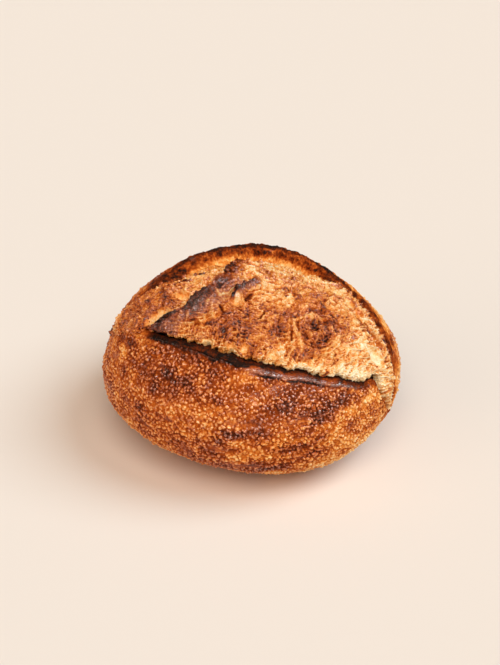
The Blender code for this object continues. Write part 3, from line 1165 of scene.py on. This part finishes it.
MAIN_FLAP = Flap(((-42.0, -31.5), (-39.3, -27.5), (-30.2, -21.5), (-23.3, -13.5), (-19.1, -3.8), (-17.2, 13.0)),
                 rise=0.0080, run=22.0, step=0.8, crest=0.0018, char_width=7.5, face_width=15.0)
SMALL_FLAP = Flap(((-12.0, -12.5), (-10.6, -9.5), (-8.4, -6.2), (-6.8, -3.0)),
                  rise=0.0044, run=10.0, step=0.7, crest=0.0012, char_width=2.6, face_width=5.0)


class MarkKind(Enum):
    """What a mark drawn on the bloom is."""

    # a split is painted near-black, as shade
    SPLIT = "split"                # a dark narrow opening
    THREAD = "thread"              # a raised pale strand
    SCORCH = "scorch"              # a burnt lifted edge


@dataclass(frozen=True)
class Mark:
    """A split, thread or scorched edge along a line of crown angles."""

    kind: MarkKind
    line: tuple[tuple[float, float], ...]
    width: float                   # half width, degrees

    def cover(self, u: Array, v: Array, wander: Array) -> Array:
        """Return how strongly the mark covers each place.

        The nearest distance to its straight pieces, over its width, which wanders with the noise.
        """
        u, v = u + 0.7 * wander, v + 0.7 * np.roll(wander, 7, axis=0)
        nearest = np.full(u.shape, 1e3)
        for (start_u, start_v), (end_u, end_v) in zip(self.line[:-1], self.line[1:]):
            run_u, run_v = end_u - start_u, end_v - start_v
            share = ((u - start_u) * run_u + (v - start_v) * run_v) / (run_u ** 2 + run_v ** 2)
            share = np.clip(share, 0.0, 1.0)
            nearest = np.minimum(nearest, np.hypot(u - start_u - share * run_u, v - start_v - share * run_v))
        return np.exp(-((nearest / (self.width * (1.0 + 0.35 * wander))) ** 2))


MARKS = (
    Mark(MarkKind.SPLIT, ((-5.5, -12.6), (-4.6, -9.6)), 0.9),
    Mark(MarkKind.SPLIT, ((-17.8, -10.6), (-17.4, -8.6)), 0.9),
    Mark(MarkKind.SPLIT, ((3.0, -16.6), (2.2, -19.6)), 0.45),
    Mark(MarkKind.SPLIT, ((16.2, -20.8), (17.2, -24.4)), 0.5),
    Mark(MarkKind.SPLIT, ((-14.6, -19.0), (-13.6, -20.2)), 0.8),
    Mark(MarkKind.SPLIT, ((40.0, 4.2), (42.0, 2.6)), 1.3),
    Mark(MarkKind.SPLIT, ((44.2, 4.2), (46.5, 0.6)), 0.8),
    Mark(MarkKind.SCORCH, ((-24.0, -26.0), (-20.0, -27.6), (-17.0, -27.0)), 1.0),
    Mark(MarkKind.THREAD, ((14.8, -16.6), (18.4, -13.0), (21.4, -11.6)), 0.75),
    Mark(MarkKind.THREAD, ((15.4, -16.4), (17.6, -19.8), (20.2, -23.0), (22.6, -26.6)), 0.75),
    Mark(MarkKind.THREAD, ((-24.5, -3.0), (-16.0, -14.5), (-10.5, -9.0)), 0.6),
    Mark(MarkKind.SCORCH, ((20.3, -7.6), (24.0, -6.6), (28.5, -8.6), (35.0, -7.9)), 1.0),
    Mark(MarkKind.SCORCH, ((23.1, -2.9), (27.3, -4.2), (31.2, -7.0)), 0.8),
    Mark(MarkKind.SCORCH, ((28.0, -10.6), (30.4, -10.2)), 1.1),
    Mark(MarkKind.SCORCH, ((34.4, -30.8), (35.6, -28.6)), 0.6),
    Mark(MarkKind.SCORCH, ((-46.0, 4.0), (-40.0, 7.0), (-34.0, 10.0)), 0.8),
    Mark(MarkKind.SCORCH, ((-46.0, -8.0), (-41.0, -3.0), (-36.0, -1.0)), 0.9),
    Mark(MarkKind.SCORCH, ((4.0, 0.5), (9.0, 1.0), (14.0, -2.0)), 0.9),
)


@dataclass(frozen=True)
class GasCell:
    """A torn-open bubble: a smooth bowl with a raised rim."""

    u: float
    v: float
    half_u: float
    half_v: float
    depth: float
    brown: float
    turn: float = 0.0              # of its long side, degrees

    def away(self, u: Array, v: Array) -> Array:
        """Return the squared distance from the middle, 1 on the rim's ellipse."""
        turn = np.radians(self.turn)
        along = (u - self.u) * np.cos(turn) + (v - self.v) * np.sin(turn)
        across = (v - self.v) * np.cos(turn) - (u - self.u) * np.sin(turn)
        return (along / self.half_u) ** 2 + (across / self.half_v) ** 2


GAS_CELLS = (
    GasCell(-34.4, -12.4, 3.0, 2.1, 0.0040, 0.26),
    GasCell(-44.0, -22.6, 6.4, 2.8, 0.0032, 0.20, 28.0),
    GasCell(-22.8, -8.4, 2.4, 1.9, 0.0028, 0.50),
    GasCell(-10.2, -13.6, 2.6, 3.6, 0.0018, 0.22, 20.0),
    GasCell(51.0, -0.6, 3.6, 2.3, 0.0040, 0.60),
    GasCell(52.0, -8.4, 4.6, 2.8, 0.0034, 0.06),
    GasCell(40.0, 8.0, 2.4, 2.8, 0.0036, 0.40),
    GasCell(-16.2, -35.0, 2.6, 1.7, 0.0024, 0.16),
    GasCell(-5.6, -35.4, 1.5, 2.2, 0.0022, 0.24),
    GasCell(0.3, -34.7, 1.5, 2.1, 0.0024, 0.22),
    GasCell(12.0, -33.0, 2.0, 1.6, 0.0018, 0.24),
    GasCell(30.6, 13.1, 3.0, 2.0, 0.0018, 0.16, -40.0),
    GasCell(35.5, 10.5, 3.0, 2.0, 0.0018, 0.22, -50.0),
)


@dataclass(frozen=True)
class Swirl:
    """A knot of dough wound round itself on the bloom."""

    u: float = 25.0
    v: float = -15.5
    spread: float = 8.0
    rise: float = 4.0 * MM
    fold: float = 2.0 * MM
    wind: float = 0.95             # radians of twist in each degree outwards

    def away(self, u: Array, v: Array) -> Array:
        """Return the distance from the knot's middle, degrees."""
        return np.hypot(u - self.u, v - self.v)

    def dome(self, u: Array, v: Array) -> Array:
        """Return 1 at the middle, fading as a bell."""
        return np.exp(-((self.away(u, v) / self.spread) ** 2))

    def coil(self, u: Array, v: Array) -> Array:
        """Return the folds: the sine of the turn round the middle plus a twist outwards."""
        turn = np.arctan2(v - self.v, u - self.u)
        return np.sin(turn + self.wind * self.away(u, v)) * self.dome(u, v)


@dataclass(frozen=True)
class BloomSite:
    """Where each point of the bloom lies."""

    plain: Array
    normal: Array
    u: Array
    v: Array
    inset: Array                   # degrees inside the bloom's own border
    front: Array                   # true in front of the midline


@dataclass
class Bloom:
    """The torn crumb that rose out of the slash, in closed wedges."""

    form: LoafForm
    shift: Array
    columns: int = 861
    rows: int = 380
    sectors: int = 4
    border_gap: float = 1.8        # between the bloom's front border and the crust's edge
    rounding: float = 2.4
    pull_turn: float = np.radians(52.0)  # the way the dough was drawn out, seen from above
    swirl: Swirl = Swirl()

    def grid(self) -> tuple[Array, Array, Array]:
        """Return u, v and the share of the way to the border, 0 at the midline, on the grid."""
        form = self.form
        u = np.linspace(-form.tip_left + 1.5, form.tip_right - 1.5, self.columns)[None, :]
        across = np.linspace(-1.0, 1.0, self.rows)[:, None]
        border = np.stack([u, 0.0 * u, 0.0 * u], axis=-1)
        front = form.front_half(u) - self.border_gap + 3.8 * self.grown_left(u)
        front = front + 1.4 * rough(border, 8.0, 3, 301) + 0.6 * rough(border, 2.3, 3, 302)
        back = form.back_half(u) - form.crevice * (0.9 - 0.6 * self.grown_right(u))
        v = form.midline + np.where(across < 0.0, across * np.maximum(front, 0.4), across * np.maximum(back, 0.4))
        return u + 0.0 * v, v, across + 0.0 * v

    @staticmethod
    def grown_left(u: Array) -> Array:
        """Return 1 at the left end, where the bloom has grown over the crust."""
        return ease(-46.0, -56.0, u)

    @staticmethod
    def grown_right(u: Array) -> Array:
        """Return 1 at the right, where the bloom has grown up against the ear."""
        return ease(14.0, 38.0, u)

    def site(self) -> BloomSite:
        """Return where every point of the bloom lies on the plain form."""
        form = self.form
        u, v, across = self.grid()
        turn, reach = np.arctan2(v, u), np.hypot(u, v)
        share = reach / np.maximum(form.opening_reach(turn) - form.crevice, 1.0)
        rise = form.bloom_rise(u, v, np.minimum(share, 1.0))
        place = np.stack([u, v, 0.0 * u], axis=-1)
        teeth = rough(place, 1.8, 2, 305)
        rise = rise + MAIN_FLAP.height(u, v, teeth) + SMALL_FLAP.height(u, v, teeth)
        rise = rise + self.swirl.rise * self.swirl.dome(u, v)
        half = np.where(across < 0.0, form.front_half(u), form.back_half(u))
        inset = half * (1.0 - np.abs(across))
        left, right = self.grown_left(u), self.grown_right(u)
        depth = np.where(across < 0.0, 7.0 - 2.0 * left, 9.0 - 4.0 * left - 7.7 * right) * MM
        lip = np.clip(1.0 - inset / (self.rounding + 4.0 * left * (across < 0.0)), 0.0, 1.0)
        rise = rise - depth * (1.0 - np.sqrt(np.clip(1.0 - lip ** 2, 0.0, 1.0)))
        plain = form.place(form.directions(reach, turn), rise) + self.shift
        return BloomSite(plain, surface_normals(plain, closed=False), u, v, inset, across < 0.0)

    def fibres(self, site: BloomSite) -> Array:
        """Return fine strands from 0 to 1 that run with the tear.

        Thin crests stretched along the slash at the left, towards the middle at the right and
        round the swirl near it.
        """
        swirl = self.swirl
        turn = np.arctan2(site.v - swirl.v, site.u - swirl.u)
        away = swirl.away(site.u, site.v)
        near = ease(15.0, 8.0, away)
        right = ease(18.0, 38.0, site.u) * (1.0 - near)
        left = 1.0 - np.maximum(near, right)
        lean = np.radians([12.0, 48.0])
        layers = []
        for number, angle in enumerate(lean):
            along = site.u * np.cos(angle) + site.v * np.sin(angle)
            across = site.v * np.cos(angle) - site.u * np.sin(angle)
            bent = across + 1.6 * rough(site.plain, 13.0 * MM, 2, 391 + number)
            layers.append(webs(np.stack([along / 4.0, bent / 1.25, 0.0 * along], axis=-1), 1.0, 3, 395 + number))
        ring = np.stack([np.cos(turn) * 2.2, np.sin(turn) * 2.2, away / 1.15], axis=-1)
        layers.append(webs(ring, 1.0, 3, 399))
        return left * layers[0] + right * layers[1] + near * layers[2]

    def shape(self) -> tuple[Array, Array, dict[str, Array]]:
        """Return the bloom's points and shading normals, its browning with painted shade and highlights, its painted
        grey reflection and its sheen.
        """
        site = self.site()
        plain, u, v = site.plain, site.u, site.v
        swirl = self.swirl
        # relief
        warp = np.stack([rough(plain, 13.0 * MM, 2, seed) for seed in (311, 312, 313)], axis=-1)
        flow = plain + 6.0 * MM * warp
        folds = webs(flow, 10.0 * MM, 3, 321)
        web = webs(flow, 3.0 * MM, 2, 331)
        lumps = rough(plain, 17.0 * MM, 3, 341)
        fibres = self.fibres(site)
        pull = np.array([np.cos(self.pull_turn), np.sin(self.pull_turn), 0.0])
        drawn = flow - 0.45 * (flow @ pull)[..., None] * pull
        torn = shards(drawn, 6.0 * MM, 345, 0.35, 0.85, 0.30)
        bubbles = domes(flow, 7.5 * MM, 355, 0.24, 0.46, 0.60, 0.4)
        pillows = domes(drawn, 4.4 * MM, 358, 0.50, 0.90, 1.0, 0.4)
        beads = domes(drawn, 2.1 * MM, 351, 0.42, 0.80, 0.95, 0.3)
        pits = domes(plain, 6.0 * MM, 361, 0.16, 0.34, 0.30, 0.4)
        flecks = domes(plain + 0.8 * MM * warp, 2.6 * MM, 367, 0.14, 0.34, 0.40, 0.4)[..., 0]
        calm = ease(-0.05, 0.40, rough(flow, 15.0 * MM, 2, 368))
        flaky = ease(-30.0, -52.0, u)
        face = np.maximum(MAIN_FLAP.face(u, v) * ease(2.0, -12.0, v), SMALL_FLAP.face(u, v))
        relief = 3.0 * lumps + 2.9 * (folds - 0.35) + 2.1 * (fibres - 0.35) + 0.6 * (web - 0.35)
        relief = relief + (0.6 + 1.4 * flaky) * (torn[..., 0] - 0.5) + 1.1 * bubbles[..., 0] ** 0.8
        fine = 1.3 * pillows[..., 0] ** 0.7 + 0.40 * beads[..., 0] ** 0.7
        relief = relief + fine * (1.0 - 0.40 * calm) - 1.2 * pits[..., 0]
        cream = ease(26.0, 46.0, u) * ease(26.0, 8.0, v)
        relief = relief * MM * (1.0 - 0.35 * np.maximum(face, cream)) + swirl.fold * swirl.coil(u, v)
        relief = relief + 0.9 * MM * (fibres - 0.35) * cream
        hanging = webs(np.stack([u / 1.3 + 0.8 * lumps, v / 6.0, 0.0 * u], axis=-1), 1.0, 3, 369)
        hanging = (hanging - 0.3) * ease(11.0, 4.0, site.inset) * ease(0.0, -5.0, v - self.form.midline)
        relief = relief + 1.6 * MM * hanging
        wander = rough(plain, 5.0 * MM, 2, 365)
        cells = np.zeros_like(u)
        cell_brown = np.zeros_like(u)
        for cell in GAS_CELLS:
            away = cell.away(u + 0.9 * wander, v - 0.7 * wander)
            bowl = np.clip(1.3 - away, 0.0, 1.0) ** 0.6
            relief = relief * (1.0 - 0.85 * bowl) - cell.depth * bowl + 0.6 * MM * bump(1.3, 0.35, away)
            cells = np.maximum(cells, bowl)
            cell_brown = np.where(bowl > 0.0, cell.brown + 0.25 * ease(0.9, 1.3, away), cell_brown)
        cover = {kind: np.zeros_like(u) for kind in MarkKind}
        for mark in MARKS:
            cover[mark.kind] = np.maximum(cover[mark.kind], mark.cover(u, v, wander))
        split, thread, scorch = (cover[kind] for kind in MarkKind)
        relief = relief - 2.0 * MM * split + 1.0 * MM * thread + 1.3 * MM * scorch
        points = plain + site.normal * relief[..., None]
        # browning, with painted shade and painted highlights
        crest = crests(relief, 4, 0.8 * MM)
        patches = rough(plain, 20.0 * MM, 3, 371)
        spots = rough(plain, 7.0 * MM, 2, 375)
        bubble = ease(0.1, 0.6, bubbles[..., 0])
        height = crests(relief, 11, 2.0 * MM)
        # painted highlight and shade: fine crests (crest) are painted paler and pits darker; broad high points
        # (height) are browner, as baked
        brown = 0.345 + 0.16 * patches + 0.15 * spots - 0.20 * crest + 0.10 * height + 0.25 * pits[..., 0]
        brown = brown + 0.10 * (torn[..., 2] - 0.5) + 0.10 * ease(0.1, 0.6, lumps)
        # painted shade between pillows and between beads; each pillow and bead also gets a random tone of its own
        brown = brown + 0.09 * (pillows[..., 1] - 0.5) + 0.10 * ease(0.45, 0.1, pillows[..., 0])
        brown = brown + 0.07 * ease(0.35, 0.05, beads[..., 0]) + 0.05 * (beads[..., 1] - 0.5)
        brown = brown - (0.16 * bubbles[..., 1] - 0.04) * bubble + 0.08 * ease(-25.0, -45.0, u)
        middle = bump(0.0, 1.0, np.hypot((u + 2.0) / 20.0, (v + 22.0) / 12.0))
        # the swirl's dome is browner; its folds are painted paler on their crests and darker in their hollows, as
        # highlight and shade
        brown = brown + 0.08 * middle + 0.22 * swirl.dome(u, v) - 0.16 * swirl.coil(u, v)
        # painted highlight on raised fibres in the cream part, and at the end of the next line painted shade between
        # fibres
        brown = brown - 0.12 * (fibres - 0.3) * cream - 0.22 * hanging
        brown = brown - 0.20 * cream - 0.01 * ease(8.0, 26.0, v) + 0.11 * ease(0.22, 0.04, fibres)
        pale = ease(8.0, 2.5, site.inset + 2.0 * spots) * ease(8.0, 19.0, u) * ease(60.0, 52.0, u) * site.front
        brown = brown - 0.20 * pale
        brown = brown - 0.08 * ease(5.0, 2.0, site.inset) * ease(-34.0, -24.0, u) * site.front
        brown = brown + 0.06 * ease(54.0, 64.0, u)
        # painted shade where the bloom meets the ear on the right: its border is painted darker
        brink_shade = ease(5.5, 1.0, site.inset + 1.5 * spots) * self.grown_right(u) * ease(-8.0, 2.0, v)
        brown = brown + 0.32 * brink_shade
        skin = 0.75 * face * (1.0 - 0.5 * bubble)
        # the flaps' skin, its crests painted paler as highlight
        brown = brown * (1.0 - skin) + (0.72 + 0.16 * spots - 0.14 * crest) * skin
        brown = brown * (1.0 - cells) + cell_brown * cells
        brown = brown * (1.0 - 0.7 * thread) + 0.16 * 0.7 * thread
        # real char of scorches, flaps, tips and flecks, and painted shade in the splits
        char_and_shade = np.maximum(scorch * (0.7 + 0.5 * spots), 0.8 * split)
        char_and_shade = np.maximum(char_and_shade, 0.75 * ease(0.1, 0.5, flecks) * ease(-0.1, 0.4, spots + 0.5 * patches))
        lower = 0.55 + 0.45 * ease(-8.0, -14.0, v)
        char_and_shade = np.maximum(char_and_shade, MAIN_FLAP.char(u, v) * (1.0 + 0.5 * spots) * lower)
        char_and_shade = np.maximum(char_and_shade, SMALL_FLAP.char(u, v) * (1.0 + 0.7 * spots))
        tips = ease(0.25, 0.80, 0.5 * crest + 0.6 * height)
        tips = tips * ease(0.05, 0.45, patches + 0.6 * lumps + 0.3 * flaky) * (1.0 - cream)
        char_and_shade = np.clip(np.maximum(char_and_shade, 0.50 * tips), 0.0, 1.0)
        brown = brown * (1.0 - char_and_shade) + 0.93 * char_and_shade
        wet = 0.45 + 0.4 * crest + 0.3 * beads[..., 0] + 0.25 * face + 0.3 * spots - 0.5 * char_and_shade
        masks = {
            "browning_and_shade": np.clip(brown, 0.06, 1.0),
            # painted grey reflection on the flaps' glossy skin
            "grey_reflection": np.clip(0.30 * face * (1.0 - 0.4 * char_and_shade), 0.0, 1.0),
            "sheen": np.clip(wet, 0.0, 1.0),
        }
        return points, surface_normals(points, closed=False), masks

    def build(self, material: bpy.types.Material) -> list[bpy.types.Object]:
        """Make the bloom's wedges.

        Args:
            material: The bloom's finish.

        Returns:
            The wedges from left to right, each closed.
        """
        points, normals, masks = self.shape()
        centre = np.array([0.0, 0.0, self.form.waist_height]) + self.shift
        limits = np.linspace(0, self.columns - 1, self.sectors + 1).astype(int)
        pieces = []
        for number, (first, last) in enumerate(zip(limits[:-1], limits[1:])):
            pick = slice(first, last + 1)
            part = {name: values[:, pick] for name, values in masks.items()}
            piece = wedge_mesh(f"bloom_{number + 1}", points[:, pick], normals[:, pick], centre, part)
            piece.data.materials.append(material)
            pieces.append(piece)
        return pieces


# ---------------------------------------------------------------- studio


@dataclass(frozen=True)
class Studio:
    """A cream floor, a wide soft sun from the right, cream surroundings and the camera."""

    floor_half: float = 60.0
    floor_colour: tuple[float, float, float, float] = (0.785, 0.718, 0.652, 1.0)
    key_strength: float = 1.97
    key_width: float = 38.0        # how wide the key light looks, degrees
    key_lift: float = 50.0
    key_compass: float = -4.0
    key_colour: tuple[float, float, float] = (0.84, 1.0, 1.10)
    top_strength: float = 1.75
    top_width: float = 44.0
    top_lift: float = 56.0
    top_compass: float = -92.0
    top_colour: tuple[float, float, float] = (1.16, 0.99, 0.85)
    front_strength: float = 0.15
    front_width: float = 13.0
    front_lift: float = 40.0
    front_compass: float = -50.0
    front_colour: tuple[float, float, float] = (1.0, 1.0, 1.0)
    left_strength: float = 0.45
    left_width: float = 44.0
    left_lift: float = 28.0
    left_compass: float = -150.0
    left_colour: tuple[float, float, float] = (1.30, 0.97, 0.72)
    fill_strength: float = 0.085
    fill_colour: tuple[float, float, float, float] = (1.30, 0.98, 0.72, 1.0)
    camera_lift: float = 34.0
    camera_distance: float = 1.12
    camera_aim: tuple[float, float, float] = (-0.00134, 0.01557, 0.07146)
    lens: float = 78.0

    def floor(self) -> bpy.types.Object:
        """Make the floor: one plane under the loaf."""
        half = self.floor_half
        mesh = bpy.data.meshes.new("studio_floor")
        corners = [(-half, -half, 0.0), (half, -half, 0.0), (half, half, 0.0), (-half, half, 0.0)]
        mesh.from_pydata(corners, [], [(0, 1, 2, 3)])
        floor = bpy.data.objects.new("studio_floor", mesh)
        bpy.context.scene.collection.objects.link(floor)
        material = bpy.data.materials.new("cream_floor")
        material.use_nodes = True
        shader = material.node_tree.nodes["Principled BSDF"]
        shader.inputs["Base Color"].default_value = self.floor_colour
        shader.inputs["Roughness"].default_value = 1.0
        shader.inputs["Specular IOR Level"].default_value = 0.0
        mesh.materials.append(material)
        return floor

    def sun(self, name: str) -> bpy.types.Object:
        """Make one of the suns from this studio's fields that begin with its name.

        Args:
            name: key, top, front or left.

        Returns:
            The light, at a compass and height angle, looking at the loaf.
        """
        strength, width, lift, compass, colour = (
            getattr(self, f"{name}_{part}") for part in ("strength", "width", "lift", "compass", "colour"))
        light = bpy.data.lights.new(f"{name}_light", "SUN")
        light.energy, light.color = strength, colour
        light.angle = np.radians(width)
        item = bpy.data.objects.new(light.name, light)
        turn, up = np.radians(compass), np.radians(lift)
        away = Vector((np.cos(turn) * np.cos(up), np.sin(turn) * np.cos(up), np.sin(up)))
        item.matrix_world = Matrix.Translation(away * 2.0) @ away.to_track_quat("Z", "Y").to_matrix().to_4x4()
        bpy.context.scene.collection.objects.link(item)
        return item

    def surroundings(self) -> None:
        """Make the even, warm surroundings."""
        world = bpy.data.worlds.new("studio")
        world.use_nodes = True
        background = world.node_tree.nodes["Background"]
        background.inputs["Color"].default_value = self.fill_colour
        background.inputs["Strength"].default_value = self.fill_strength
        bpy.context.scene.world = world

    def camera(self) -> None:
        """Set the camera in front of the loaf, looking down on it."""
        lift = np.radians(self.camera_lift)
        away = Vector((0.0, -np.cos(lift), np.sin(lift)))
        camera = bpy.data.objects.new("camera", bpy.data.cameras.new("camera"))
        camera.data.lens = self.lens
        camera.data.sensor_width = 36.0
        place = Matrix.Translation(Vector(self.camera_aim) + away * self.camera_distance)
        camera.matrix_world = place @ away.to_track_quat("Z", "Y").to_matrix().to_4x4()
        bpy.context.scene.collection.objects.link(camera)
        bpy.context.scene.camera = camera

    def build(self) -> None:
        """Set the floor, the lights and the camera."""
        self.floor()
        for name in ("key", "top", "front", "left"):
            self.sun(name)
        self.surroundings()
        self.camera()
        bpy.context.scene.view_settings.view_transform = "Standard"


# ---------------------------------------------------------------- assembly


def main() -> None:
    """Build the loaf's looks on its frame and set the studio."""
    logging.basicConfig(level=logging.INFO, format="%(message)s")
    form = LoafForm()
    shift = centred_shift(form)
    log.info("form shifted by %s mm", np.round(shift / MM, 2))
    browning_and_shade, crumb = Browning().group(), FineCrumb().group()
    crust_material = CRUST_FINISH.material(browning_and_shade, crumb)
    bloom_material = BLOOM_FINISH.material(browning_and_shade, crumb)
    crust = Crust(form, shift).build(crust_material)
    bloom = Bloom(form, shift).build(bloom_material)
    for piece in crust + bloom:
        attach(piece, "root")
        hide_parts(LOAF)
        log.info("%s: %d faces", piece.name, len(piece.data.polygons))
    Studio().build()


if __name__ == "__main__":
    main()
